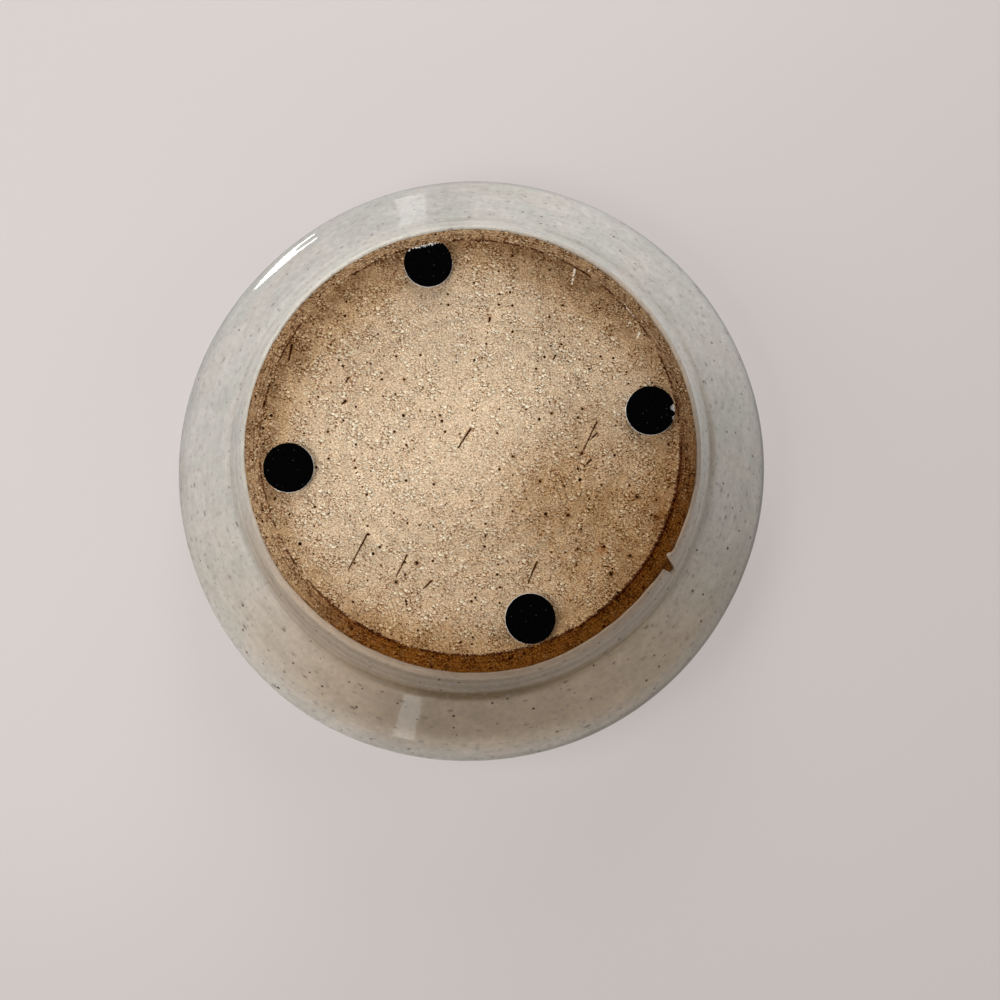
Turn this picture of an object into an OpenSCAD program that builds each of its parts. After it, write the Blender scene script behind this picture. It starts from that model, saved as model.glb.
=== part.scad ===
// Wheel-thrown stoneware dish for a berry bowl or a plant pot, standing on four stick-on rubber pads.
// Millimetres. +Z is up, and the origin is the point on the table under the middle of the dish.

/* [Dish] */
// Diameter across the glazed rim
rim_d = 170; // [150:1:190]
// Height from the flat of the foot to the top of the glazed lip
dish_h = 33; // [28:0.5:40]
// Thickness of the clay floor
floor_t = 6.5; // [5:0.5:8]
// Thickness of the clay wall at the crease
wall_t = 6; // [4.5:0.5:7]
// Thickness of the clay at the lip, which is fully round
lip_t = 4.6; // [3.5:0.1:6]
// Length of the band under the lip that is turned up from the flare
band_l = 6; // [3:0.5:9]
// Slope of that band from the level, in degrees
band_slope = 50; // [44:1:58]
// Radius where the flare turns up into the band
band_r = 9; // [4:1:14]
// Radius where the inside of the floor turns up into the wall
well_r = 16; // [8:1:24]

/* [Foot] */
// Diameter of the bare flat face under the dish
foot_d = 108; // [96:1:118]
// How far the trimmed bevel round the foot runs outward
bevel_run = 4.5; // [3:0.5:6]
// How far the bevel rises
bevel_rise = 3; // [2:0.5:4]
// Radius on the corner between the flat face and the bevel
arris_r = 1.2; // [0.4:0.1:2]

/* [Crease] */
// Height of the crease where the steep lower wall turns out into the flare
crease_h = 12.7; // [10:0.1:15]
// How far the lower wall leans out from the bevel to the crease
crease_run = 6.1; // [4:0.1:8]
// Radius that softens the crease
crease_r = 7; // [3:1:12]

/* [Throwing rings] */
// Finger grooves up the outside of the wall, from the glaze to the band under the lip
outer_rings = 6; // [4:1:9]
// Finger grooves from the lip to the middle of the floor
inner_rings = 14; // [8:1:18]
// Depth of a finger groove in the clay
ring_depth = 0.16; // [0.02:0.02:0.4]

/* [Glaze] */
// Thickness of the fired glaze on the crest of a ring
glaze_t = 0.5; // [0.3:0.05:0.8]
// Extra thickness where the glaze pools in a groove
pool_t = 0.06; // [0:0.02:0.2]
// Extra thickness of the bead where the glaze stops above the bevel
bead_t = 0.35; // [0.1:0.05:0.6]
// Length of wall over which the bead thins to the plain coat
bead_l = 2.4; // [1.5:0.1:4]

/* [Pads] */
// Diameter of a die-cut rubber pad
pad_d = 12.7; // [9:0.1:15]
// Thickness of the rubber
pad_t = 1.6; // [1:0.1:3]
// Radius worn on the lower edge of the rubber
pad_edge_r = 0.3; // [0.1:0.1:0.5]
// Thickness of the adhesive film
film_t = 0.2; // [0.1:0.05:0.3]

/* [Pad places] */
// Direction of the back pad from +X, in degrees
back_angle = 76; // [60:1:120]
// Room between the back pad and the edge of the flat face; below zero it is cut off there
back_inset = -0.9; // [-1.5:0.1:4]
// Direction of the right pad
right_angle = -8.5; // [-30:0.5:30]
// Room between the right pad and the edge
right_inset = 0.9; // [-1.5:0.1:4]
// Direction of the front pad
front_angle = -108.5; // [-120:0.5:-60]
// Room between the front pad and the edge
front_inset = 0.5; // [-1.5:0.1:4]
// Direction of the left pad
left_angle = 170; // [150:1:210]
// Room between the left pad and the edge
left_inset = 0.8; // [-1.5:0.1:4]

/* [Hidden] */

// Segments of a full turn, of a rounded corner, of the lip and of one throwing ring
$fn = 120;
corner_steps = 6;
lip_steps = 10;
ring_steps = 6;
bead_steps = 10;
band_steps = 10;

// Share of the flare that carries throwing rings, before the round of the band
flare_share = 0.8;

// The foot's flat face stands on the pads and their film
foot_z = pad_t + film_t;
foot_r = foot_d / 2;

// Section of the dish as [radius, height above the foot's flat face]
middle = [0, 0];
foot_corner = [foot_r, 0];
glaze_line = foot_corner + [bevel_run, bevel_rise];
crease = [glaze_line.x + crease_run, crease_h];
lip_r = lip_t / 2;
lip_centre = [rim_d / 2 - glaze_t - lip_r, dish_h - glaze_t - lip_r];

// Outside, the flare runs from the crease to the band, which meets the lip's round
lip_outside = lip_centre - lip_r * left_of(heading(band_slope));
band_corner = lip_outside - band_l * heading(band_slope);
flare_end = crease + flare_share * (band_corner - crease);

// Inside, the wall keeps wall_t from the crease and runs straight to the lip's round
core = lip_centre - crease;
inside_angle = angle_of(core) - asin((wall_t - lip_r) / norm(core));
lip_inside = lip_centre + lip_r * left_of(heading(inside_angle));
inside_at_crease = crease + wall_t * left_of(heading(inside_angle));
well_slope = (floor_t - inside_at_crease.y) / sin(inside_angle);
well_corner = inside_at_crease + well_slope * heading(inside_angle);
floor_middle = [0, floor_t];

// Four stretches of the section, each a corner rounded between two straight lines
foot_line = [middle, foot_corner, glaze_line, arris_r];
outside_line = [glaze_line, crease, flare_end, crease_r];
band_line = [flare_end, band_corner, lip_outside, band_r];
inside_line = [lip_inside, well_corner, floor_middle, well_r];

function heading(angle) = [cos(angle), sin(angle)];
function left_of(way) = [-way.y, way.x];
function angle_of(way) = atan2(way.y, way.x);

// Ways in and out of a stretch's corner, and the signed turn between them
function way_in(line) = (line[1] - line[0]) / norm(line[1] - line[0]);
function way_out(line) = (line[2] - line[1]) / norm(line[2] - line[1]);
function turn_of(line) =
    let (a = way_in(line), b = way_out(line))
    atan2(a.x * b.y - a.y * b.x, a.x * b.x + a.y * b.y);

// Length of each straight line that the round takes, and of the round itself
function corner_cut(line) = line[3] * tan(abs(turn_of(line)) / 2);
function round_length(line) = line[3] * abs(turn_of(line)) * PI / 180;
function lead_in(line) = norm(line[1] - line[0]) - corner_cut(line);
function lead_out(line) = norm(line[2] - line[1]) - corner_cut(line);
function stretch_length(line) = lead_in(line) + round_length(line) + lead_out(line);

// Direction of travel and point at a distance s along a stretch
function way_at(line, s) =
    let (t = (s - lead_in(line)) / round_length(line))
    heading(angle_of(way_in(line)) + turn_of(line) * max(0, min(1, t)));
function point_at(line, s) =
    let (
        side = sign(turn_of(line)) * line[3],
        start = line[1] - corner_cut(line) * way_in(line),
        over = s - lead_in(line) - round_length(line)
    )
    s < lead_in(line) ? line[0] + s * way_in(line)
    : over > 0 ? line[1] + (corner_cut(line) + over) * way_out(line)
    : start + side * left_of(way_in(line)) - side * left_of(way_at(line, s));

// A finger groove is a smooth dip of 1 between crests of 0. A stretch starts and ends on a crest.
function groove(part, rings) = (1 - cos(360 * part * rings)) / 2;

// Clay and glaze lie on the right of the way along the section, which is outside the clay
function lifted(line, s, lift) = point_at(line, s) - lift * left_of(way_at(line, s));
function clay_at(line, part, rings) =
    lifted(line, part * stretch_length(line), -ring_depth * groove(part, rings));
function glaze_at(line, part, rings, extra) =
    lifted(line, part * stretch_length(line), glaze_t + extra - (ring_depth - pool_t) * groove(part, rings));

// The bead swells from nothing in a quarter round, then thins out along bead_l
function bead_swell(t) = (glaze_t + bead_t) * sqrt(1 - pow(1 - min(1, 3 * t), 2)) - glaze_t;
function bead_at(t) = t < 1 / 3 ? bead_swell(t) : bead_t * (1 + cos(180 * (3 * t - 1) / 2)) / 2;

function parts(from, to, steps) = [for (i = [0 : steps]) from + (to - from) * i / steps];
function lip_round(r) = [
    for (a = parts(band_slope - 90, inside_angle + 90, lip_steps)) lip_centre + r * heading(a)
];

// The bare foot, from the middle of the flat face to the start of the bevel's straight
foot_section = concat(
    [middle],
    [for (s = parts(lead_in(foot_line), lead_in(foot_line) + round_length(foot_line), corner_steps))
        point_at(foot_line, s)]
);

// The clay under the glaze, from the glaze line up, over the lip and down to the middle of the floor
clay_section = concat(
    [for (t = parts(0, 1, outer_rings * ring_steps)) clay_at(outside_line, t, outer_rings)],
    [for (i = [1 : band_steps]) clay_at(band_line, i / band_steps, 0)],
    [for (i = [1 : lip_steps - 1]) lip_round(lip_r)[i]],
    [for (t = parts(0, 1, inner_rings * ring_steps)) clay_at(inside_line, t, inner_rings)]
);

// The glaze's own surface along the same way
bead_part = bead_l / stretch_length(outside_line);
glaze_section = concat(
    [for (t = parts(0, 1, bead_steps)) glaze_at(outside_line, t * bead_part, outer_rings, bead_at(t))],
    [for (t = parts(bead_part, 1, outer_rings * ring_steps)) if (t > bead_part)
        glaze_at(outside_line, t, outer_rings, 0)],
    [for (i = [1 : band_steps]) glaze_at(band_line, i / band_steps, 0, 0)],
    [for (i = [1 : lip_steps - 1]) lip_round(lip_r + glaze_t)[i]],
    [for (t = parts(0, 1, inner_rings * ring_steps)) glaze_at(inside_line, t, inner_rings, 0)]
);

// The glaze leaves the clay at the glaze line and comes back along it from the middle of the floor
glaze_clay_side = [for (i = [len(clay_section) - 1 : -1 : 1]) clay_section[i]];

module turned(section) {
    translate([0, 0, foot_z]) rotate_extrude() polygon(section);
}

// A place for a pad on the foot's flat face, cut off at the edge of the face
module on_foot(angle, inset) {
    intersection() {
        rotate([0, 0, angle]) translate([foot_r - inset - pad_d / 2, 0, 0]) children();
        cylinder(r = foot_r, h = foot_z);
    }
}

module pad(angle, inset) {
    edge = [for (a = parts(270, 360, corner_steps)) [pad_d / 2 - pad_edge_r, pad_edge_r] + pad_edge_r * heading(a)];
    color([0.02, 0.02, 0.022]) on_foot(angle, inset)
        rotate_extrude() polygon(concat([[0, 0]], edge, [[pad_d / 2, pad_t], [0, pad_t]]));
}

module film(angle, inset) {
    color([0.85, 0.84, 0.8]) on_foot(angle, inset)
        translate([0, 0, pad_t]) cylinder(d = pad_d, h = film_t);
}

module clay_body() {
    color([0.72, 0.6, 0.46]) turned(concat(foot_section, clay_section));
}

module glaze_coat() {
    color([0.78, 0.76, 0.72]) turned(concat(glaze_section, glaze_clay_side));
}

module foot_pad_back() { pad(back_angle, back_inset); }
module foot_pad_right() { pad(right_angle, right_inset); }
module foot_pad_front() { pad(front_angle, front_inset); }
module foot_pad_left() { pad(left_angle, left_inset); }

module film_back() { film(back_angle, back_inset); }
module film_right() { film(right_angle, right_inset); }
module film_front() { film(front_angle, front_inset); }
module film_left() { film(left_angle, left_inset); }

clay_body();
glaze_coat();
foot_pad_back();
foot_pad_right();
foot_pad_front();
foot_pad_left();
film_back();
film_right();
film_front();
film_left();
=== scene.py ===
# A wheel-thrown stoneware dish for a berry bowl or a plant pot: a bare clay body, a glossy glaze over all but
# its foot, and four stick-on rubber pads. Sizes are millimetres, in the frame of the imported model.
import math

import bpy
import numpy as np
from mathutils import Matrix, Vector


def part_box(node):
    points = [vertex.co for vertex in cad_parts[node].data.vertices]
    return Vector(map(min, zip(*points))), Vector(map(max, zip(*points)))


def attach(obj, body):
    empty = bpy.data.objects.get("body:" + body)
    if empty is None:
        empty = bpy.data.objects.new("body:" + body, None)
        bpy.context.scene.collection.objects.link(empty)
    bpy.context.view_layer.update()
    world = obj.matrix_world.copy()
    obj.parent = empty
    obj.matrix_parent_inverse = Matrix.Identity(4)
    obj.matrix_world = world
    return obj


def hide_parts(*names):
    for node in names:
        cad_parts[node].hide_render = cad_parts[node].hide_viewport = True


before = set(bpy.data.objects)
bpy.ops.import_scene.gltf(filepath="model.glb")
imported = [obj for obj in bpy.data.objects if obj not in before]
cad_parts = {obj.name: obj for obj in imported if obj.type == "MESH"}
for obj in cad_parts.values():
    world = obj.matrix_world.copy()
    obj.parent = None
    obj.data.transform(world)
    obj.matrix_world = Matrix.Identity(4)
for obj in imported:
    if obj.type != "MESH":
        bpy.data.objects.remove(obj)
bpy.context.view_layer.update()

# Clay body
# One piece of buff stoneware with pale grog and iron in it, thrown on a wheel as a shallow dish. The foot was
# trimmed flat with a bevel round it and left bare, so the kiln toasted the bevel and the edge of the foot.
mm = 0.001
turn = 2 * math.pi
foot_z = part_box("clay_body")[0].z / mm
rim_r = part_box("glaze_coat")[1].x / mm
rim_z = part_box("glaze_coat")[1].z / mm
foot_r = 54.0
arris_r = 1.2
bevel_run = 4.5
bevel_rise = 3.0
crease_run = 6.1
crease_h = 12.7
crease_r = 7.0
band_l = 6.0
band_slope = math.radians(50)
band_r = 24.0
glaze_t = 0.5
lip_r = 2.3
wall_t = 6.0
floor_t = 6.5
well_r = 16.0


def heading(angle):
    return np.array([math.cos(angle), math.sin(angle)])


def left_of(way):
    return np.array([-way[1], way[0]])


def arc(centre, radius, start, end, steps=24):
    return [centre + radius * heading(a) for a in np.linspace(start, end, steps + 1)]


def rounded(before, corner, after, radius):
    """The arc that rounds a corner between two straight lines."""
    way_in = (corner - before) / np.linalg.norm(corner - before)
    way_out = (after - corner) / np.linalg.norm(after - corner)
    bend = math.atan2(way_in[0] * way_out[1] - way_in[1] * way_out[0], way_in @ way_out)
    side = math.copysign(radius, bend) * left_of(way_in)
    centre = corner - radius * math.tan(abs(bend) / 2) * way_in + side
    start = math.atan2(-side[1], -side[0])
    return arc(centre, radius, start, start + bend)


# The section in radius and height, from the middle of the foot over the lip to the middle of the inside
foot_middle = np.array([0.0, foot_z])
foot_corner = np.array([foot_r, foot_z])
glaze_line = foot_corner + [bevel_run, bevel_rise]
crease = np.array([glaze_line[0] + crease_run, foot_z + crease_h])
lip_centre = np.array([rim_r, rim_z]) - glaze_t - lip_r
lip_outside = lip_centre - lip_r * left_of(heading(band_slope))
band_corner = lip_outside - band_l * heading(band_slope)
core = lip_centre - crease
inside_slope = math.atan2(core[1], core[0]) - math.asin((wall_t - lip_r) / np.linalg.norm(core))
lip_inside = lip_centre + lip_r * left_of(heading(inside_slope))
floor_middle = np.array([0.0, foot_z + floor_t])
well_drop = (lip_inside[1] - floor_middle[1]) / math.sin(inside_slope)
well_corner = lip_inside - well_drop * heading(inside_slope)
bare = [foot_middle, *rounded(foot_middle, foot_corner, glaze_line, arris_r), glaze_line]
covered = [
    *rounded(glaze_line, crease, band_corner, crease_r),
    *rounded(crease, band_corner, lip_outside, band_r),
    *arc(lip_centre, lip_r, band_slope - turn / 4, inside_slope + turn / 4),
    *rounded(lip_inside, well_corner, floor_middle, well_r),
    floor_middle,
]
outline = np.array(bare + covered)
walked = np.concatenate([[0], np.cumsum(np.linalg.norm(np.diff(outline, axis=0), axis=1))])
walked -= walked[len(bare) - 1]


def on_outline(way):
    """Radius and height at a distance along the section, measured from the glaze line."""
    return np.interp(way, walked, outline[:, 0]), np.interp(way, walked, outline[:, 1])


def out_of_clay(way, reach=0.25):
    """Direction out of the clay at a distance along the section, as its parts in radius and height."""
    r_back, z_back = on_outline(way - reach)
    r_on, z_on = on_outline(way + reach)
    run = np.hypot(r_on - r_back, z_on - z_back)
    return (z_on - z_back) / run, (r_back - r_on) / run


def way_to(point):
    return walked[np.argmin(np.linalg.norm(outline - point, axis=1))]


to_arris = way_to(foot_corner)
to_crease = way_to(crease)
to_band = way_to(band_corner)
to_lip = way_to(lip_outside)
to_lip_top = way_to(lip_centre + [0, lip_r])
to_inside = way_to(lip_inside)
to_well = way_to(well_corner)
start_way, end_way = walked[0], walked[-1]


def rows(start, *stretches):
    """Distances along the section from a start, each stretch with its own end and spacing."""
    found = [start]
    for end, spacing in stretches:
        steps = max(1, round(abs(end - found[-1]) / spacing))
        found.extend(np.linspace(found[-1], end, steps + 1)[1:])
    return np.array(found)


def ease(value, low, high):
    """A smooth step from 0 at low to 1 at high."""
    part = np.clip((value - low) / (high - low), 0, 1)
    return part * part * (3 - 2 * part)


def uneven(angle, low, high, seed):
    """A wander round the dish between about -1 and 1, made of waves that fit low to high times in a turn."""
    draw = np.random.default_rng(seed)
    total = np.zeros_like(angle)
    for waves in range(low, high + 1):
        total = total + draw.uniform(0.5, 1) * np.cos(waves * angle + draw.uniform(0, turn))
    return total / np.sqrt(high - low + 1)


def near(value, place, width, sharpness=2):
    """1 at a place, fading over a width either side of it. A higher sharpness gives it a flatter top."""
    return np.exp(-np.abs((value - place) / width) ** sharpness)


def towards(angle, degrees, width):
    """1 in a direction round the dish, fading over a width either side of it, both in degrees."""
    apart = np.angle(np.exp(1j * (angle - math.radians(degrees))))
    return near(apart, 0, math.radians(width))


def sides(angle, *levels):
    """The sum of levels round the dish: the strength of each, and its direction and width in degrees."""
    return sum(strength * towards(angle, degrees, width) for strength, degrees, width in levels)


def facing(angle, degrees, low, high):
    """1 on the side of the dish that faces a direction and 0 behind, with its edge between two cosines."""
    return ease(np.cos(angle - math.radians(degrees)), low, high)


outer_ring_pitch = 4.7
outer_ring_depth = 0.012
inner_ring_pitch = 5.6
inner_ring_depth = 0.16


def throwing_rings(way, angle):
    """Depth of the spiral finger groove, which climbs one pitch a turn and fades towards the lip."""
    outside = ease(way, 1, 4) * (1 - ease(way, to_band - 5, to_band - 1))
    inside = ease(way, to_inside + 1, to_inside + 6) * (1 - ease(way, end_way - 7, end_way - 2))
    groove_out = 0.5 - 0.5 * np.cos(turn * way / outer_ring_pitch + angle)
    groove_in = 0.5 - 0.5 * np.cos(turn * way / inner_ring_pitch + angle)
    return outer_ring_depth * outside * groove_out + inner_ring_depth * inside * groove_in


rim_shrink = 0.15
rim_drop = 0.10


def settled(radius, height, angle):
    """The pull out of round that drying gives a thrown rim: in on two sides, out on one, a little down."""
    share = ease(height, foot_z + bevel_rise, rim_z)
    pull = sides(angle, (0.90, 307, 26), (-0.95, 45, 38), (-0.40, 210, 22)) - rim_shrink
    drop = rim_drop * (1.4 + uneven(angle, 2, 3, 4))
    return radius + pull * share, height - drop * share


def ring_faces(count, columns):
    """Faces between rings that follow each other, each with as many points as there are columns."""
    here = np.arange(columns)
    after = np.roll(here, -1)
    faces = []
    for i in range(count - 1):
        low, high = i * columns, (i + 1) * columns
        faces.extend(np.stack([low + here, low + after, high + after, high + here], axis=1).tolist())
    return faces


def placed(name, points, faces, sharp_from=60):
    """An object from points in millimetres, smooth but for edges sharper than an angle in degrees."""
    mesh = bpy.data.meshes.new(name)
    mesh.from_pydata((np.array(points) * mm).tolist(), [], faces)
    mesh.shade_smooth()
    mesh.set_sharp_from_angle(angle=math.radians(sharp_from))
    piece = bpy.data.objects.new(name, mesh)
    bpy.context.scene.collection.objects.link(piece)
    return piece


def turned(name, angles, radius, height, first_z, last_z):
    """A closed piece of rings, whose first and last rings close on the axis at the given heights."""
    count, columns = radius.shape
    points = np.stack([radius * np.cos(angles), radius * np.sin(angles), height], axis=-1).reshape(-1, 3)
    points = np.vstack([points, [[0, 0, first_z], [0, 0, last_z]]])
    faces = ring_faces(count, columns)
    first, last, end = count * columns, count * columns + 1, (count - 1) * columns
    for a in range(columns):
        b = (a + 1) % columns
        faces.append([first, b, a])
        faces.append([last, end + a, end + b])
    return placed(name, points, faces)


def mark(piece, name, values):
    """A number at every point of a turned piece, for its material. The two axis points take their ring's."""
    flat = np.concatenate([values.ravel(), [values[0].mean(), values[-1].mean()]])
    piece.data.attributes.new(name, "FLOAT", "POINT").data.foreach_set("value", flat.astype(np.float32))


# Rings of the clay: close together on the foot, and wide apart under the glaze
clay_columns = 720
trimming_pitch, trimming_depth = 2.3, 0.012
chatter_pitch, chatter_depth = 0.87, 0.006
bevel_line_pitch, bevel_line_depth = 0.9, 0.02
face_sink = 0.03
crumble_fine, crumble_broad = 0.14, 0.10
under_glaze_sink = 0.02
clay_angles = np.linspace(0, turn, clay_columns, endpoint=False)
clay_ways = rows(
    start_way + 0.4, (to_arris - 1, 0.6), (to_arris + 1, 0.14), (7, 0.3), (to_crease, 1.5), (end_way - 2, 2.5)
)
way, angle = np.meshgrid(clay_ways, clay_angles, indexing="ij")
r, z = on_outline(way)
out_r, out_z = out_of_clay(way)
on_face = 1 - ease(way, to_arris - 1.5, to_arris - 0.5)
trimming = trimming_depth * np.cos(turn * r / trimming_pitch + angle)
chatter = chatter_depth * np.cos(turn * r / chatter_pitch - angle)
on_bevel = ease(way, to_arris - 0.3, to_arris + 0.5)
bevel_lines = bevel_line_depth * np.cos(turn * way / bevel_line_pitch) * on_bevel * (1 - ease(way, -0.6, 0))
crumbling = crumble_fine * uneven(angle, 40, 90, 11) + crumble_broad * uneven(angle, 3, 9, 12)
relief = on_face * (trimming + chatter - face_sink) + bevel_lines + near(way, to_arris, 0.7) * crumbling
relief = relief - throwing_rings(way, angle) - under_glaze_sink * ease(way, 6, 8)
r, z = settled(r + relief * out_r, z + relief * out_z, angle)
z = np.maximum(z, foot_z)
clay = turned("clay_dish", clay_angles, r, z, foot_z, floor_middle[1] - under_glaze_sink)

# How far the kiln toasted the clay: least in the middle of the foot, most on the bevel, and furthest in on
# two sides. Towards the front it is rust red and stops at the arris, which is scorched there.
face_r = foot_r - 1.5
toast_steep = 8.0 - sides(angle, (3.2, 45, 28), (3.2, 133, 28))
toast_reach = 1 - sides(
    angle, (0.80, 235, 66), (0.42, 328, 28), (0.25, 160, 22), (-0.04, 122, 25), (0.07, 62, 25), (0.07, 92, 18)
)
toast_broad = sides(angle, (0.48, 212, 38), (0.12, 278, 36)) * ease(r, 2, 26)
toast_face = toast_reach * np.clip(r / face_r, 0, 1) ** toast_steep + toast_broad

# Clouds of toast on the foot: strength, direction and width in degrees, radius, and how far off each fades
for strength, degrees, width, cloud_r, cloud_fade in (
    (0.16, 165, 22, 30, 7), (0.10, 30, 14, 30, 7), (0.10, 60, 20, 47, 2.5), (0.08, 120, 18, 47, 2.5)
):
    toast_face = toast_face + strength * towards(angle, degrees, width) * near(r, cloud_r, cloud_fade)
rust_side = facing(angle, 243, -0.1, 0.75)
rust_face = 0.25 + 0.5 * rust_side
rust_bevel = 0.30 + 0.70 * rust_side - sides(angle, (0.20, 75, 35), (0.22, 178, 20))
bevel_level = 0.80 + 0.25 * facing(angle, 245, -0.2, 0.6)
bevel_level = bevel_level - sides(angle, (0.32, 333, 24), (0.14, 180, 18), (0.10, 105, 40))
mark(clay, "toast", toast_face)
mark(clay, "rust", rust_face * (1 - on_bevel) + rust_bevel * on_bevel)
mark(clay, "bevel_level", bevel_level)
mark(clay, "past_arris", way - to_arris)
mark(clay, "scorch", sides(angle, (1.0, 205, 36), (0.6, 296, 16), (0.35, 92, 12)))


def finish(name):
    """A new material with its nodes, and its main shader."""
    material = bpy.data.materials.new(name)
    material.use_nodes = True
    return material, material.node_tree, material.node_tree.nodes["Principled BSDF"]


def add(tree, kind, settings=None, **sockets):
    """A node with its settings, each named socket set to a value or joined to another node's socket."""
    made = tree.nodes.new(kind)
    for name, value in (settings or {}).items():
        setattr(made, name, value)
    for name, value in sockets.items():
        plug(tree, made.inputs[name.replace("_", " ")], value)
    return made


def plug(tree, socket, value):
    if isinstance(value, bpy.types.NodeSocket):
        tree.links.new(value, socket)
    else:
        socket.default_value = value


def calc(tree, operation, *values):
    made = tree.nodes.new("ShaderNodeMath")
    made.operation = operation
    for socket, value in zip(made.inputs, values):
        plug(tree, socket, value)
    return made.outputs[0]


def vector(tree, operation, *values):
    made = tree.nodes.new("ShaderNodeVectorMath")
    made.operation = operation
    for socket, value in zip(made.inputs, values):
        plug(tree, socket, value)
    return made.outputs["Value" if operation in ("LENGTH", "DOT_PRODUCT", "DISTANCE") else "Vector"]


def between(tree, value, low, high):
    """A smooth step from 0 at low to 1 at high, which may be the lower of the two."""
    made = add(tree, "ShaderNodeMapRange", {"interpolation_type": "SMOOTHSTEP"}, Value=value)
    plug(tree, made.inputs["From Min"], low)
    plug(tree, made.inputs["From Max"], high)
    return made.outputs["Result"]


def spread(tree, value, low, high):
    """A value of 0 to 1 spread over low to high."""
    return calc(tree, "MULTIPLY_ADD", value, high - low, low)


def times(tree, *values):
    total = values[0]
    for value in values[1:]:
        total = calc(tree, "MULTIPLY", total, value)
    return total


def mixed(tree, share, first, second, mode="MIX"):
    """Two colours mixed, the second by its share."""
    made = tree.nodes.new("ShaderNodeMix")
    made.data_type = "RGBA"
    made.blend_type = mode
    for index, value in ((0, share), (6, first), (7, second)):
        plug(tree, made.inputs[index], (*value, 1) if isinstance(value, tuple) else value)
    return made.outputs[2]


def grey(tree, value):
    return add(tree, "ShaderNodeCombineColor", Red=value, Green=value, Blue=value).outputs["Color"]


def ramp(tree, value, *colours):
    """Colours at even steps from 0 to 1."""
    made = add(tree, "ShaderNodeValToRGB", Fac=value)
    elements = made.color_ramp.elements
    while len(elements) < len(colours):
        elements.new(0.5)
    for i, colour in enumerate(colours):
        elements[i].position = i / (len(colours) - 1)
        elements[i].color = (*colour, 1)
    return made.outputs["Color"]


def marked(tree, name):
    return add(tree, "ShaderNodeAttribute", {"attribute_name": name}).outputs["Fac"]


def place_in_mm(tree):
    spot = tree.nodes.new("ShaderNodeTexCoord").outputs["Object"]
    made = add(tree, "ShaderNodeVectorMath", {"operation": "SCALE"}, Vector=spot, Scale=1 / mm)
    return made.outputs["Vector"]


def noise(tree, place, scale, detail=2.0, roughness=0.5):
    settings = {"noise_dimensions": "2D"}
    made = add(tree, "ShaderNodeTexNoise", settings, Vector=place, Scale=scale, Detail=detail)
    made.inputs["Roughness"].default_value = roughness
    return made.outputs["Fac"]


def lines(tree, way, scale, detail=2.0):
    """Noise along one way only, for lines that lie side by side."""
    settings = {"noise_dimensions": "1D"}
    return add(tree, "ShaderNodeTexNoise", settings, W=way, Scale=scale, Detail=detail).outputs["Fac"]


def shaken(tree, place, scale, reach):
    """The place moved about by a noise, so that what is drawn there has uneven edges."""
    made = add(tree, "ShaderNodeTexNoise", {"noise_dimensions": "2D"}, Vector=place, Scale=scale, Detail=1.0)
    off = vector(tree, "SUBTRACT", made.outputs["Color"], (0.5, 0.5, 0.5))
    return vector(tree, "ADD", place, vector(tree, "MULTIPLY", off, (2 * reach, 2 * reach, 0)))


def scattered(tree, place, scale, share, inner, outer):
    """Grains: a share of the cells of a scatter hold one each, soft between two radii. Also their tones."""
    cells = add(tree, "ShaderNodeTexVoronoi", {"voronoi_dimensions": "2D"}, Vector=place, Scale=scale)
    draw = add(tree, "ShaderNodeSeparateColor", Color=cells.outputs["Color"]).outputs
    held = between(tree, draw["Red"], 1 - share, 1 - share + 0.02)
    size = spread(tree, draw["Green"], 0.5, 1.25)
    apart = calc(tree, "DIVIDE", cells.outputs["Distance"], size)
    return times(tree, held, between(tree, apart, outer, inner)), draw["Blue"]


def drag_mark_group():
    """Nodes for one mark on the foot: a line between two points that thins to its end, and a wider stain."""
    group = bpy.data.node_groups.new("drag_mark", "ShaderNodeTree")
    for name in ("Place", "From", "To"):
        group.interface.new_socket(name, in_out="INPUT", socket_type="NodeSocketVector")
    group.interface.new_socket("Width", in_out="INPUT", socket_type="NodeSocketFloat")
    group.interface.new_socket("Mark", in_out="OUTPUT", socket_type="NodeSocketFloat")
    group.interface.new_socket("Stain", in_out="OUTPUT", socket_type="NodeSocketFloat")
    given = group.nodes.new("NodeGroupInput").outputs
    off = vector(group, "SUBTRACT", given["Place"], given["From"])
    line = vector(group, "SUBTRACT", given["To"], given["From"])
    shortest = 0.001
    length = calc(group, "MAXIMUM", vector(group, "LENGTH", line), shortest)
    way_along = vector(group, "NORMALIZE", line)
    run = calc(group, "MAXIMUM", vector(group, "DOT_PRODUCT", off, way_along), 0.0)
    run = calc(group, "MINIMUM", run, length)
    nearest = add(group, "ShaderNodeVectorMath", {"operation": "SCALE"}, Vector=way_along, Scale=run)
    apart = vector(group, "DISTANCE", off, nearest.outputs["Vector"])
    taper = spread(group, calc(group, "DIVIDE", run, length), 1.0, 0.5)
    width = times(group, given["Width"], taper)
    shown = group.nodes.new("NodeGroupOutput")
    group.links.new(between(group, apart, width, times(group, width, 0.3)), shown.inputs["Mark"])
    group.links.new(between(group, apart, times(group, width, 1.8), width), shown.inputs["Stain"])
    return group


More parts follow.
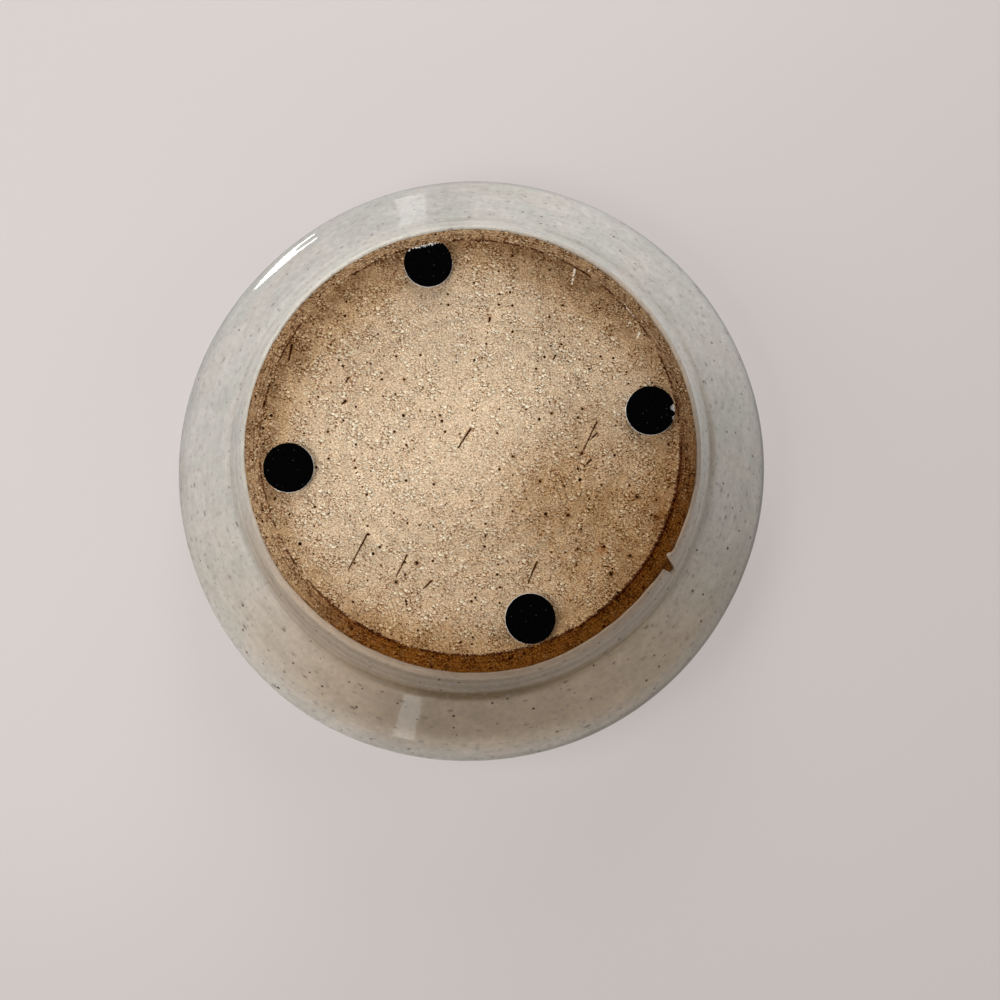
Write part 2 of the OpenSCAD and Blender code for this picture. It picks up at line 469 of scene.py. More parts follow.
# Marks where the trimming tool dragged a grain over the foot: start, end and half width. Then the largest
# specks of iron, with their place and radius, and pale chips, which are given like the drag marks.
drag_marks = [
    ((0.1, 3.4), (3.3, -1.6), 0.30),
    ((26.1, -23.7), (30.8, -33.0), 0.22),
    ((16.0, -29.0), (18.7, -34.5), 0.22),
    ((9.7, -35.5), (11.9, -37.5), 0.26),
    ((-32.4, 5.3), (-28.5, -2.8), 0.22),
    ((-32.4, 2.4), (-30.6, 0.6), 0.24),
    ((-30.8, -4.6), (-29.2, -6.1), 0.24),
    ((-16.8, -30.7), (-14.5, -36.0), 0.24),
    ((-4.8, 32.7), (-4.6, 31.7), 0.36),
    ((-21.9, 22.9), (-21.2, 21.6), 0.24),
    ((46.4, 25.3), (47.1, 21.3), 0.34),
    ((31.6, 16.6), (32.3, 15.6), 0.36),
    ((32.2, 10.6), (33.2, 9.8), 0.38),
]
iron_spots = [
    ((-42.4, -14.2), 0.55),
    ((-24.7, -18.8), 0.46),
    ((-35.5, -33.7), 0.62),
    ((-40.4, -29.2), 0.46),
    ((-17.7, -10.2), 0.42),
    ((-28.5, -2.9), 0.50),
    ((8.0, 6.9), 0.36),
    ((-20.8, 7.5), 0.36),
    ((-28.7, 8.7), 0.44),
    ((17.3, 16.3), 0.38),
    ((18.7, -35.8), 0.46),
    ((13.5, -31.0), 0.48),
]
pale_chips = [
    ((-27.0, 45.9), (-26.3, 42.0), 0.34),
    ((-43.7, 28.9), (-43.1, 27.4), 0.34),
    ((-40.4, 35.9), (-42.7, 33.1), 0.14),
    ((-31.0, 46.2), (-30.6, 45.7), 0.26),
    ((-41.3, 31.8), (-41.0, 31.4), 0.28),
]

buff_dark, buff_pale = (0.37, 0.241, 0.130), (0.98, 0.78, 0.56)
# Dark for the cracks and gaps in the clay, and for the painted shadows beside its grains
dark_gap_and_shadow = (0.165, 0.060, 0.008)
cream_grog = (1.0, 0.87, 0.665)
chalk = (0.98, 0.86, 0.71)
untouched = (1.0, 1.0, 1.0)
half_smoked, smoked = (0.66, 0.585, 0.495), (0.36, 0.303, 0.235)
half_rusted, rusted = (0.64, 0.51, 0.36), (0.33, 0.155, 0.035)
scorched, scorched_red = (0.20, 0.09, 0.05), (0.66, 0.42, 0.32)
iron = (0.022, 0.005, 0.0006)
iron_stain = (0.58, 0.36, 0.15)
rust_stain = (0.60, 0.27, 0.07)
rust_stain_at = (-33.3, -27.7, 0)

# Scatters in the clay: cells to a millimetre, the share that hold a grain, and two radii in parts of a cell
grog_cells = (0.95, 0.46, 0.26, 0.42)
fine_grog_cells = (1.75, 0.44, 0.24, 0.44)
speck_cells, speck_stain_cells = (0.30, 0.28, 0.065, 0.10), (0.30, 0.28, 0.08, 0.16)
large_speck_cells = (0.115, 0.30, 0.037, 0.05)
pit_cells, pit_stain_cells = (0.75, 0.24, 0.09, 0.17), (0.75, 0.24, 0.12, 0.25)

# The bare clay: a buff ground with cracks and pale grog, and a painted shadow on one side of each grain
material, tree, shader = finish("bare_stoneware")
plan = vector(tree, "MULTIPLY", place_in_mm(tree), (1, 1, 0))
radius = vector(tree, "LENGTH", plan)
smear_turn, smear_stretch = (0, 0, math.radians(45)), (0.85, 1.15, 1)
# How far each grain's painted shadow lies from it
grain_shadow_shift = (-0.24, 0.0, 0.0)
smeared = add(tree, "ShaderNodeMapping", Vector=plan, Rotation=smear_turn, Scale=smear_stretch)
strewn = shaken(tree, smeared.outputs["Vector"], 1.3, 0.28)
grain_shadow_place = vector(tree, "ADD", strewn, grain_shadow_shift)
turning = lines(tree, radius, 0.45, 3.0)
worn = between(tree, calc(tree, "ADD", noise(tree, plan, 0.06), turning), 0.75, 1.25)
clumped = between(tree, noise(tree, plan, 0.24, 3.0, 0.65), 0.40, 0.60)
off_middle = between(tree, radius, 6.0, 28.0)
shown = times(tree, spread(tree, worn, 0.65, 1.05), spread(tree, off_middle, 0.78, 1.0))
shown = times(tree, shown, spread(tree, clumped, 0.55, 1.25))
face_toast = times(tree, marked(tree, "toast"), spread(tree, noise(tree, plan, 0.11, 3.0, 0.65), 0.55, 1.45))
grain = noise(tree, strewn, 1.9, 2.0, 0.65)
gaps = between(tree, calc(tree, "MULTIPLY_ADD", face_toast, -0.10, grain), 0.47, 0.31)
ground = between(tree, noise(tree, strewn, 3.0, 2.0, 0.6), 0.24, 0.76)
crack = calc(tree, "ABSOLUTE", calc(tree, "SUBTRACT", noise(tree, strewn, 1.2, 2.0, 0.6), 0.5))
cracked = times(tree, between(tree, crack, 0.045, 0.012), between(tree, noise(tree, plan, 0.85), 0.42, 0.58))
grog, grog_tone = scattered(tree, strewn, *grog_cells)
fine_grog, fine_tone = scattered(tree, strewn, *fine_grog_cells)
# The grains drawn again, shifted, as painted shadows on one side of them
grain_shadow = scattered(tree, grain_shadow_place, *grog_cells)[0]
fine_grain_shadow = scattered(tree, grain_shadow_place, *fine_grog_cells)[0]
colour = mixed(tree, ground, buff_dark, buff_pale)
# Darkened by cracks, gaps and the painted grain shadows, then lightened by the grog
for share, strength, tint in (
    (cracked, 0.75, dark_gap_and_shadow),
    (gaps, 1.0, dark_gap_and_shadow),
    (fine_grain_shadow, 0.5, dark_gap_and_shadow),
    (grain_shadow, 0.8, dark_gap_and_shadow),
    (fine_grog, spread(tree, fine_tone, 0.45, 1.2), cream_grog),
    (grog, spread(tree, grog_tone, 0.50, 1.3), cream_grog),
):
    colour = mixed(tree, times(tree, share, shown, strength), colour, tint)
cloud = spread(tree, noise(tree, plan, 0.05, 3.0, 0.6), 0.82, 1.18)
rings = spread(tree, turning, 0.80, 1.20)
pale_middle = spread(tree, off_middle, 1.09, 1.0)
colour = mixed(tree, 1.0, colour, grey(tree, times(tree, cloud, rings, pale_middle)), "MULTIPLY")

# The toast: cloudy on the foot, streaked round the bevel, with a ragged edge between them
past_arris = marked(tree, "past_arris")
mottle = noise(tree, plan, 0.45, 4.0, 0.65)
ragged = calc(tree, "MULTIPLY_ADD", noise(tree, plan, 1.2), 1.5, -0.75)
bevel = between(tree, calc(tree, "ADD", past_arris, ragged), -0.2, 0.25)
face_toast = times(tree, face_toast, spread(tree, noise(tree, plan, 0.35, 4.0, 0.7), 0.5, 1.5))
bevel_toast = times(tree, marked(tree, "bevel_level"), spread(tree, mottle, 0.66, 1.34))
toast = calc(tree, "MULTIPLY_ADD", calc(tree, "SUBTRACT", bevel_toast, face_toast), bevel, face_toast)
smoky = ramp(tree, toast, untouched, half_smoked, smoked)
rusty = ramp(tree, toast, untouched, half_rusted, rusted)
colour = mixed(tree, 1.0, colour, mixed(tree, marked(tree, "rust"), smoky, rusty), "MULTIPLY")
streak_way = calc(tree, "MULTIPLY_ADD", noise(tree, plan, 0.04), 1.5, past_arris)
streaked = times(tree, bevel, between(tree, lines(tree, streak_way, 1.9), 0.52, 0.34))
colour = mixed(tree, times(tree, streaked, 0.55), colour, scorched, "MULTIPLY")
spots = times(tree, bevel, between(tree, noise(tree, plan, 0.55, 3.0, 0.6), 0.54, 0.68))
colour = mixed(tree, times(tree, spots, 0.6), colour, scorched, "MULTIPLY")
crumbled = calc(tree, "MULTIPLY_ADD", noise(tree, plan, 2.2), 1.2, -0.6)
wavy_arris = calc(tree, "MULTIPLY_ADD", ragged, 0.4, past_arris)
off_arris = calc(tree, "ABSOLUTE", calc(tree, "ADD", crumbled, wavy_arris))
scorch_side = marked(tree, "scorch")
scorch_patch = calc(tree, "MULTIPLY_ADD", scorch_side, 0.20, noise(tree, plan, 0.16, 3.0, 0.7))
scorch_width = spread(tree, scorch_side, 0.36, 0.62)
scorch_line = between(tree, off_arris, scorch_width, times(tree, scorch_width, 0.65))
scorch = times(tree, scorch_line, between(tree, scorch_patch, 0.42, 0.56))
reddened = times(tree, between(tree, past_arris, 1.7, 0.2), between(tree, past_arris, -0.3, 0.1), scorch_side)
colour = mixed(tree, times(tree, reddened, 0.7), colour, scorched_red, "MULTIPLY")
colour = mixed(tree, times(tree, scorch, 0.9), colour, scorched, "MULTIPLY")
stain = between(tree, vector(tree, "DISTANCE", shaken(tree, plan, 0.8, 0.8), rust_stain_at), 2.0, 0.3)
colour = mixed(tree, times(tree, stain, 0.55), colour, rust_stain, "MULTIPLY")

# Specks and pits of iron with a stain round each, and the marks that are placed one by one
small_specks = scattered(tree, plan, *speck_cells)[0]
large_specks = scattered(tree, plan, *large_speck_cells)[0]
pits, pit_tone = scattered(tree, plan, *pit_cells)
pit_strength = spread(tree, pit_tone, 0.35, 0.9)
dark = calc(tree, "MAXIMUM", small_specks, large_specks)
dark = calc(tree, "MAXIMUM", dark, times(tree, pits, pit_strength))
speck_stain = scattered(tree, plan, *speck_stain_cells)[0]
pit_stain = scattered(tree, plan, *pit_stain_cells)[0]
stained = calc(tree, "MAXIMUM", speck_stain, times(tree, pit_stain, pit_strength))
pale = 0.0
wavering = shaken(tree, plan, 1.1, 0.16)
group = drag_mark_group()
soft_edge = 1.4


def drag_mark(line_from, line_to, width):
    one = add(tree, "ShaderNodeGroup", {"node_tree": group}, Place=wavering, Width=soft_edge * width)
    one.inputs["From"].default_value = (*line_from, 0)
    one.inputs["To"].default_value = (*line_to, 0)
    return one.outputs


for line_from, line_to, width in drag_marks + [(spot, spot, width) for spot, width in iron_spots]:
    one_mark = drag_mark(line_from, line_to, width)
    dark = calc(tree, "MAXIMUM", dark, one_mark["Mark"])
    stained = calc(tree, "MAXIMUM", stained, one_mark["Stain"])
for line_from, line_to, width in pale_chips:
    pale = calc(tree, "MAXIMUM", pale, drag_mark(line_from, line_to, width)["Mark"])
pale = times(tree, pale, between(tree, noise(tree, plan, 1.7, 2.0, 0.7), 0.36, 0.50))
colour = mixed(tree, times(tree, stained, 0.45), colour, iron_stain, "MULTIPLY")
colour = mixed(tree, dark, colour, iron)
colour = mixed(tree, times(tree, pale, 0.75), colour, chalk)
tree.links.new(colour, shader.inputs["Base Color"])
shader.inputs["Roughness"].default_value = 0.88
shader.inputs["Specular IOR Level"].default_value = 0.02
lumps = calc(tree, "MULTIPLY_ADD", fine_grog, 0.4, calc(tree, "ADD", grog, grain))
lumps = calc(tree, "MULTIPLY_ADD", dark, -0.6, times(tree, lumps, shown))
grog_h = 0.35
bump = add(tree, "ShaderNodeBump", Strength=0.9, Distance=grog_h * mm, Height=lumps)
tree.links.new(bump.outputs["Normal"], shader.inputs["Normal"])
clay.data.materials.append(material)
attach(clay, "root")
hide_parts("clay_body")

# Glaze coat
# A glossy, half opaque grey-white glaze, poured and fired on. It beads where it stops above the bevel,
# follows the throwing rings, draws thin and grey over the lip, and lets specks of iron in the clay show.
bead_t = 0.14
bead_rise = 1.1
bead_l = 2.6
skip_at, skip_half, skip_deep = math.radians(211.7), math.radians(1.1), 6.0
skip_round, skip_drift = math.radians(7), 0.9
tongue_at, tongue_half, tongue_long = math.radians(209.6), math.radians(1.1), 1.8
close_up, close_columns = math.radians(5), 90
edge_rows, edge_crowding = 30, 1.6
coat_sink = 0.03

# The line where the glaze stops: its bends, with the shift, direction and width of each, a finer wander, and
# one skip with a tongue of glaze beside it
near_skip = np.linspace(skip_at - close_up, skip_at + close_up, close_columns)
glaze_angles = np.unique(np.concatenate([clay_angles, near_skip]))
line_bends = (
    (-0.85, 70, 38), (-0.45, 130, 26), (1.0, 189, 11), (0.5, 254, 10),
    (-0.4, 293, 16), (0.8, 326, 8), (0.4, 358, 18),
)
line = 0.05 + 0.06 * uneven(glaze_angles, 5, 14, 21) + 0.10 * uneven(glaze_angles, 20, 60, 22)
line = line + sides(glaze_angles, *line_bends) + skip_drift * near(glaze_angles, skip_at, skip_round)
line = line + (skip_deep - skip_drift) * near(glaze_angles, skip_at, skip_half, 4)
line = line - tongue_long * near(glaze_angles, tongue_at, tongue_half)
settle_way = 8.5
well_way = to_well + 12
coat_end = end_way - 1
near_ways = line + np.linspace(0, 1, edge_rows)[:, None] ** edge_crowding * (settle_way - line)
far_ways = rows(settle_way, (to_band - 3, 0.55), (to_inside, 0.35), (well_way, 0.7), (coat_end, 0.9))[1:]
way = np.vstack([near_ways, np.repeat(far_ways[:, None], len(glaze_angles), axis=1)])
angle = np.repeat(glaze_angles[None, :], len(way), axis=0)
past_edge = way - line
r, z = on_outline(way)
out_r, out_z = out_of_clay(way)
swell = np.sqrt(1 - (1 - np.clip(past_edge / bead_rise, 0, 1)) ** 2)
bead = bead_t * (1 - ease(past_edge, bead_rise, bead_l))

# Lines that the throwing left on the lower wall: how far up each runs, its height or depth, and its width
hand_lines = np.zeros_like(way)
wander = 0.2 * uneven(angle, 1, 3, 31)
for line_way, line_h, line_w in ((2.4, -0.05, 0.35), (4.4, 0.09, 0.9), (7.0, -0.05, 0.4), (9.2, 0.04, 0.6)):
    hand_lines = hand_lines + line_h * near(way - wander, line_way, line_w)
hand_lines = hand_lines * (1 - 0.85 * facing(angle, 95, -0.3, 0.4))
crease_dip = 0.12 * near(way, to_crease, 1.2)
lip_thin = 0.10 * near(way, to_lip_top, 3.2)
lift = swell * (glaze_t + bead) + (hand_lines - crease_dip) * ease(past_edge, 0.6, 1.5) - lip_thin
lift = lift - 0.9 * throwing_rings(way, angle) * ease(past_edge, 0.5, 2)
lift = lift + 0.02 * uneven(angle, 5, 14, 33) * ease(past_edge, 1, 4)
lift = np.where(past_edge <= 0, 0, lift)
r_coat, z_coat = settled(r + lift * out_r, z + lift * out_z, angle)

# The side that lies on the clay, from the middle of the inside back over the lip to the line
under_ways = rows(
    coat_end, (well_way, 4), (to_inside, 3), (to_lip, 0.8), (to_band, 2), (to_crease, 2.5), (settle_way, 1)
)
under = np.vstack([np.repeat(under_ways[:, None], len(glaze_angles), axis=1), near_ways[:0:-4]])
under_angle = np.repeat(glaze_angles[None, :], len(under), axis=0)
r_under, z_under = on_outline(under)
under_out_r, under_out_z = out_of_clay(under)
sunk = -coat_sink - throwing_rings(under, under_angle)
r_under, z_under = settled(r_under + sunk * under_out_r, z_under + sunk * under_out_z, under_angle)
glaze = turned(
    "glaze",
    glaze_angles,
    np.vstack([r_under, r_coat]),
    np.vstack([z_under, z_coat]),
    floor_middle[1] - coat_sink,
    floor_middle[1] + glaze_t,
)


def on_coat(values):
    """Values for the glaze's outer side, with none on the side that lies on the clay."""
    return np.vstack([np.zeros_like(r_under), values])


# Zones of the coat, from the line up over the lip
on_bead = 1 - ease(past_edge, 1.2, 2.6)
on_wall = ease(past_edge, 2.0, 4.0) * (1 - ease(way, to_crease, to_crease + 2.5))
low_wall = 1 - ease(way, to_crease - 3, to_crease + 1)
near_foot = 1 - ease(way, to_crease - 1, to_crease + 1.5)
in_crease = near(way, to_crease + 0.4, 1.9, 4)
on_flare = ease(way, to_crease, to_crease + 5)
near_rim = ease(way, to_band - 7, to_band - 1)
below_lip = near(np.maximum(to_lip - way, 0), 0, 3.2) * (1 - ease(way, to_inside, to_inside + 4))
at_lip = near(way, to_lip, 1.3)

# How pale or grey the glaze looks in each zone: partly its own tone, partly painted light and shade.
# The painted shade darkens the lip on three sides and the front below the rim; the painted light
# lightens the front of the rim and one side of the bead.
tone_and_painted_light = 0.975 + sides(angle, (0.08, 150, 42), (0.06, 222, 24), (-0.035, 205, 60), (-0.09, 84, 6))
tone_and_painted_light = tone_and_painted_light - on_flare * sides(
    angle, (0.07, 14, 24), (0.04, 45, 20), (0.05, 96, 13), (0.04, 0, 22), (0.14, 283, 9)
)
tone_and_painted_light = tone_and_painted_light - on_flare * (1 - ease(way, to_band, to_lip)) * sides(angle, (0.14, 64, 24))
# Painted shade on the lip on one side
tone_and_painted_light = tone_and_painted_light - ease(way, to_band - 2, to_lip) * sides(angle, (0.10, 0, 16))
tone_and_painted_light = tone_and_painted_light - near_foot * sides(angle, (0.12, 0, 26), (0.08, 335, 18), (0.09, 182, 14))
# Darker low on the wall on one side, and painted shade over the front below the rim
tone_and_painted_light = tone_and_painted_light - low_wall * sides(angle, (0.16, 222, 24)) - (1 - near_rim) * sides(angle, (0.25, 272, 24))
# Painted light on the front of the rim, a little darker beside it
tone_and_painted_light = tone_and_painted_light + near_rim * sides(angle, (0.09, 258, 34), (-0.06, 210, 18))
# Painted light on one side of the bead and painted shade on two others
tone_and_painted_light = tone_and_painted_light + on_bead * sides(angle, (0.10, 60, 20), (-0.20, 180, 14), (-0.11, 120, 16))
# Painted shade along the lip, most on two sides
shaded_lip_side = np.maximum(towards(angle, 186, 42), towards(angle, 236, 34))
tone_and_painted_light = tone_and_painted_light - (0.06 + 0.34 * shaded_lip_side) * at_lip

# Where the glaze is browner, mostly towards the front
front_flare = facing(angle, 268, 0.3, 0.98) * (1 - ease(way, to_band - 7, to_lip + 2))
front_foot = (facing(angle, 290, 0.3, 0.9) + sides(angle, (0.95, 218, 24))) * low_wall
front = np.maximum(front_flare, 0.9 * front_foot)
front = front + on_flare * sides(angle, (0.20, 336, 17), (0.12, 212, 22))
front = front + near_rim * sides(angle, (0.24, 224, 26), (0.14, 90, 12))

# The crease, with painted shade on two sides, and where there is less gloss: in it, on one side of the foot,
# and inside
crease_shade = 0.10 + sides(angle, (0.80, 271, 26), (0.32, 178, 16))
satin = np.maximum(in_crease, ease(towards(angle, 48, 40), 0.1, 0.5) * near_foot)
satin = np.maximum(satin, 0.3 * ease(way, to_inside, to_inside + 6))
mark(glaze, "along", on_coat(way))
mark(glaze, "bead", on_coat(on_bead))
mark(glaze, "lower_wall", on_coat(on_wall))
# Painted shade in the crease
mark(glaze, "crease", on_coat(in_crease * crease_shade))
mark(glaze, "satin", on_coat(satin))
# The glaze's tone, with the painted light and shade of each zone
mark(glaze, "tone_and_painted_light", on_coat(tone_and_painted_light))
mark(glaze, "thin", on_coat(below_lip * (1 - 0.95 * facing(angle, 285, -0.4, 0.4))))
mark(glaze, "front", on_coat(np.clip(front, 0, 1)))
mark(glaze, "rim", on_coat(near(way, to_lip - 0.8, 2.4)))
# Where painted shade falls, low on the wall at the front
mark(glaze, "shaded_foot", on_coat(facing(angle, 290, 0.55, 0.98) * low_wall))
mark(glaze, "tan_bead", on_coat(facing(angle, 225, -0.8, 0.2)))
mark(glaze, "veil", on_coat(facing(angle, 75, -0.3, 0.6)))

milk = (0.50, 0.474, 0.438)
green_grey = (0.46, 0.448, 0.408)
pink_grey = (0.505, 0.462, 0.424)
front_buff = (0.43, 0.318, 0.21)
bead_cream, bead_tan = (0.56, 0.52, 0.45), (0.40, 0.285, 0.195)
# Olive for lines on the wall; a brown for lines and for the painted shade in the crease; a brown for painted
# shade low on the wall at the front
olive, crease_shade_and_line_brown, foot_shade_brown = (0.25, 0.21, 0.15), (0.185, 0.13, 0.075), (0.19, 0.137, 0.088)
thin_grey = (0.40, 0.375, 0.345)
bare_lip = (0.74, 0.735, 0.735)
soft_speck = (0.24, 0.215, 0.19)
brown_speck = (0.075, 0.055, 0.042)

# The coat laid flat for its patterns: unrolled at one radius outside, and as seen from above inside
reel_r = 70.0
material, tree, shader = finish("speckled_glaze")
place = place_in_mm(tree)
along = marked(tree, "along")
split = add(tree, "ShaderNodeSeparateXYZ", Vector=place).outputs
round_it = times(tree, calc(tree, "ARCTAN2", split["Y"], split["X"]), reel_r)
unrolled = add(tree, "ShaderNodeCombineXYZ", X=round_it, Y=along).outputs["Vector"]
inside = between(tree, along, to_lip_top - 0.1, to_lip_top + 0.1)
spot = mixed(tree, inside, unrolled, place)
drawn = vector(tree, "MULTIPLY", spot, (0.12, 1, 1))
stretched = vector(tree, "MULTIPLY", spot, (0.55, 1, 1))
streak = noise(tree, drawn, 0.9, 4.0, 0.6)
colour = mixed(tree, between(tree, noise(tree, spot, 0.05, 3.0, 0.55), 0.42, 0.66), milk, green_grey)
colour = mixed(tree, between(tree, noise(tree, spot, 0.065, 2.0), 0.50, 0.72), colour, pink_grey)
colour = mixed(tree, times(tree, between(tree, streak, 0.48, 0.72), 0.30), colour, thin_grey)
warmed = marked(tree, "front")
lower_wall = marked(tree, "lower_wall")
colour = mixed(tree, times(tree, warmed, 0.82), colour, front_buff)
lined_way = calc(tree, "MULTIPLY_ADD", noise(tree, spot, 0.03), 1.2, along)
wall_line = lines(tree, lined_way, 0.62)
dark_line = between(tree, wall_line, 0.48, 0.62)
pale_line = between(tree, wall_line, 0.46, 0.34)
scratched = between(tree, lines(tree, lined_way, 2.0), 0.50, 0.64)
# Painted shade low on the wall at the front, under the flare
colour = mixed(tree, times(tree, lower_wall, marked(tree, "shaded_foot"), 0.68), colour, foot_shade_brown)
colour = mixed(tree, times(tree, lower_wall, dark_line, spread(tree, warmed, 0.08, 0.42)), colour, olive)
colour = mixed(tree, times(tree, lower_wall, scratched, warmed, 0.45), colour, crease_shade_and_line_brown)
colour = mixed(tree, times(tree, lower_wall, pale_line, 0.12), colour, bead_cream)
# Painted shade in the crease
colour = mixed(tree, marked(tree, "crease"), colour, crease_shade_and_line_brown)
bead_colour = mixed(tree, marked(tree, "tan_bead"), bead_cream, bead_tan)
colour = mixed(tree, times(tree, marked(tree, "bead"), 0.7), colour, bead_colour)
patchy = spread(tree, noise(tree, spot, 0.35, 3.0, 0.6), 0.4, 1.4)
colour = mixed(tree, times(tree, marked(tree, "thin"), patchy), colour, bare_lip, "MULTIPLY")
broad_mottle = spread(tree, noise(tree, stretched, 0.20, 4.0, 0.6), 0.82, 1.18)
fine_mottle = spread(tree, noise(tree, spot, 0.5, 3.0, 0.6), 0.83, 1.17)
# The glaze's tone, with the painted light and shade of each zone
mottle = times(tree, broad_mottle, fine_mottle, marked(tree, "tone_and_painted_light"))
colour = mixed(tree, 1.0, colour, grey(tree, mottle), "MULTIPLY")

# Specks of iron: where they show, how they lie, cells to a millimetre, the share of cells that hold one, two
# radii in parts of a cell, the least and the most that one shows, and its colour
clear = spread(tree, marked(tree, "veil"), 1.0, 0.68)
rim = marked(tree, "rim")
for where, lie, scale, share, inner, outer, least, most, tint in (
    (clear, spot, 0.30, 0.55, 0.0, 0.30, 0.20, 0.60, soft_speck),
    (clear, spot, 0.55, 0.45, 0.0, 0.36, 0.15, 0.50, soft_speck),
    (clear, spot, 0.80, 0.18, 0.03, 0.20, 0.20, 0.60, soft_speck),
    (clear, stretched, 0.28, 0.42, 0.02, 0.17, 0.20, 0.70, brown_speck),
    (clear, spot, 0.20, 0.34, 0.03, 0.10, 0.40, 1.0, iron),
    (rim, spot, 0.42, 0.40, 0.04, 0.16, 0.30, 0.90, brown_speck),
):
    specks, speck_tone = scattered(tree, lie, scale, share, inner, outer)
    colour = mixed(tree, times(tree, specks, where, spread(tree, speck_tone, least, most)), colour, tint)
tree.links.new(colour, shader.inputs["Base Color"])
dulled = marked(tree, "satin")
tree.links.new(spread(tree, dulled, 0.07, 0.7), shader.inputs["Roughness"])
tree.links.new(spread(tree, dulled, 0.24, 0.05), shader.inputs["Specular IOR Level"])
ripple = noise(tree, spot, 0.25)
ripple_h = 0.06
bump = add(tree, "ShaderNodeBump", Strength=0.3, Distance=ripple_h * mm, Height=ripple)
tree.links.new(bump.outputs["Normal"], shader.inputs["Normal"])
glaze.data.materials.append(material)
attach(glaze, "root")
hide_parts("glaze_coat")

# Rubber pads and their films
# Four half-inch dots die-cut from black rubber, each stuck to the bare foot by a clear film on its back. One
# runs past the edge of the foot and was trimmed there by hand, and one has nicks, so a little film shows.
# The film is drawn pale grey to white there: a painted glint of light on the clear film.
pad_d = 12.7
pad_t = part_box("foot_pad_front")[1].z / mm
pad_edge_r = 0.3
pad_hub_r = 0.05
pad_columns = 144
pad_angles = np.linspace(0, turn, pad_columns, endpoint=False)


def pad_reach(middle, room):
    """Reach of a dot from its middle in every direction, stopped a room short of the edge of the foot."""
    across, up = np.cos(pad_angles), np.sin(pad_angles)
    outward = middle[0] * across + middle[1] * up
    to_edge = -outward + np.sqrt(outward ** 2 - middle[0] ** 2 - middle[1] ** 2 + (foot_r - room) ** 2)
    return np.minimum(pad_d / 2, to_edge)


def disc(name, middle, reach, section):
    """A closed dot: one ring for each inset and height of its section, that far in from the dot's reach."""
    across, up = np.cos(pad_angles), np.sin(pad_angles)
    points = []
    for inset, height in section:
        ring = np.maximum(reach - inset, pad_hub_r)
        points.extend((x, y, height) for x, y in zip(middle[0] + ring * across, middle[1] + ring * up))
    faces = ring_faces(len(section), pad_columns)
    first_ring = np.arange(pad_columns)
    last_ring = first_ring + (len(section) - 1) * pad_columns
    faces.append(first_ring[::-1].tolist())
    faces.append(last_ring.tolist())
    return placed(name, points, faces, 40)


# Painted glint: the clear film's colour, pale grey to white
film_glint_grey, film_glint_white = (0.74, 0.72, 0.68), (0.98, 0.97, 0.95)
material, tree, shader = finish("clear_adhesive")
place = place_in_mm(tree)
wrinkle = noise(tree, place, 1.6)
tree.links.new(mixed(tree, wrinkle, film_glint_grey, film_glint_white), shader.inputs["Base Color"])
shader.inputs["Roughness"].default_value = 0.12
wrinkle_h = 0.15
bump = add(tree, "ShaderNodeBump", Strength=0.8, Distance=wrinkle_h * mm, Height=wrinkle)
tree.links.new(bump.outputs["Normal"], shader.inputs["Normal"])
clear_adhesive = material

rubber_black, dust_grey = (0.0008, 0.0008, 0.0009), (0.05, 0.05, 0.05)
material, tree, shader = finish("black_rubber")
place = place_in_mm(tree)
dust, dust_tone = scattered(tree, place, 0.8, 0.22, 0.04, 0.14)
dusted = times(tree, dust, dust_tone)
tree.links.new(mixed(tree, dusted, rubber_black, dust_grey), shader.inputs["Base Color"])
shader.inputs["Roughness"].default_value = 0.9
shader.inputs["Specular IOR Level"].default_value = 0.02
pore_h = 0.1
pores = noise(tree, place, 3.0, 3.0)
bump = add(tree, "ShaderNodeBump", Strength=0.5, Distance=pore_h * mm, Height=pores)
tree.links.new(bump.outputs["Normal"], shader.inputs["Normal"])
black_rubber = material

# The sections of a pad and of its film, as insets and heights from the lower face up to the back
quarter = np.linspace(0, turn / 4, 6)
low_edge = [(pad_edge_r * (1 - math.sin(a)), pad_edge_r * (1 - math.cos(a))) for a in quarter]
rubber_section = [(4.0, 0.0), (1.5, 0.0), *low_edge, (0.0, pad_t - 0.1), (0.06, pad_t), (1.0, pad_t)]
film_low = [(2.0, pad_t), (0.05, pad_t), (0.0, pad_t + 0.05)]
film_high = [(0.0, foot_z - 0.04), (0.03, foot_z), (2.0, foot_z)]

